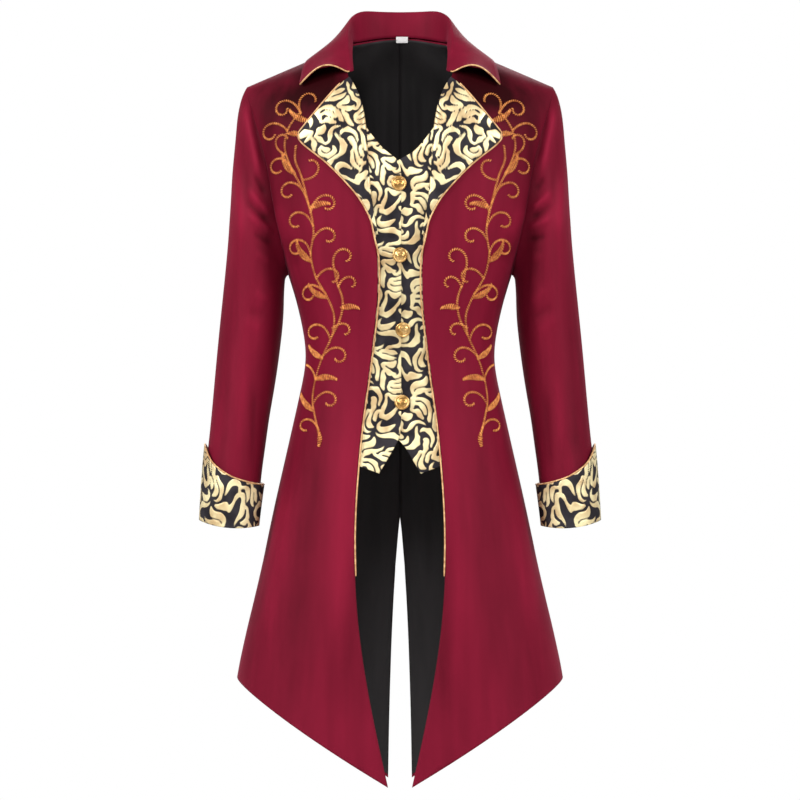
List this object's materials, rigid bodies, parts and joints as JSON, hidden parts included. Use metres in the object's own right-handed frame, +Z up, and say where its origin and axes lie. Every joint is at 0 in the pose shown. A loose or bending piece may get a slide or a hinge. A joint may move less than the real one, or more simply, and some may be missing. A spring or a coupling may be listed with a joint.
{
  "type": "tailcoat",
  "caption": "Velvet tailcoat with cutaway fronts, brocade lapels, turned cuffs and a false waistcoat, piped edges and domed buttons, held open as if worn.",
  "frame": {"origin": "middle of the neck opening, level with the seam at the nape, where the wearer's shoulders hold the coat", "axes": "+Z up, the front faces -Y, the wearer's left is +X"},
  "size_m": [0.5738, 0.3462, 1.1259],
  "materials": {
    "velvet": "crimson velvet with a short pile",
    "lining": "plain black lining cloth",
    "brocade": "black cloth with a pale gold scroll pattern",
    "piping": "gold cord",
    "button": "gilt, with a raised pattern",
    "label": "white woven tape"
  },
  "bodies": {
    "root": {"front_right": "velvet", "front_left": "velvet", "back_right": "velvet", "back_left": "velvet", "lining_right": "lining", "lining_left": "lining", "sleeve_right": "velvet", "sleeve_left": "velvet", "cuff_right": "brocade", "cuff_left": "brocade", "waistcoat_right": "brocade", "waistcoat_left": "brocade", "lapel_right": "brocade", "lapel_left": "brocade", "collar": "velvet", "button_1": "button", "button_2": "button", "button_3": "button", "button_4": "button", "label": "label", "piping_front_right": "piping", "piping_front_left": "piping", "piping_collar_right": "piping", "piping_collar_left": "piping", "piping_cuff_right": "piping", "piping_cuff_left": "piping"}
  },
  "joints": []
}
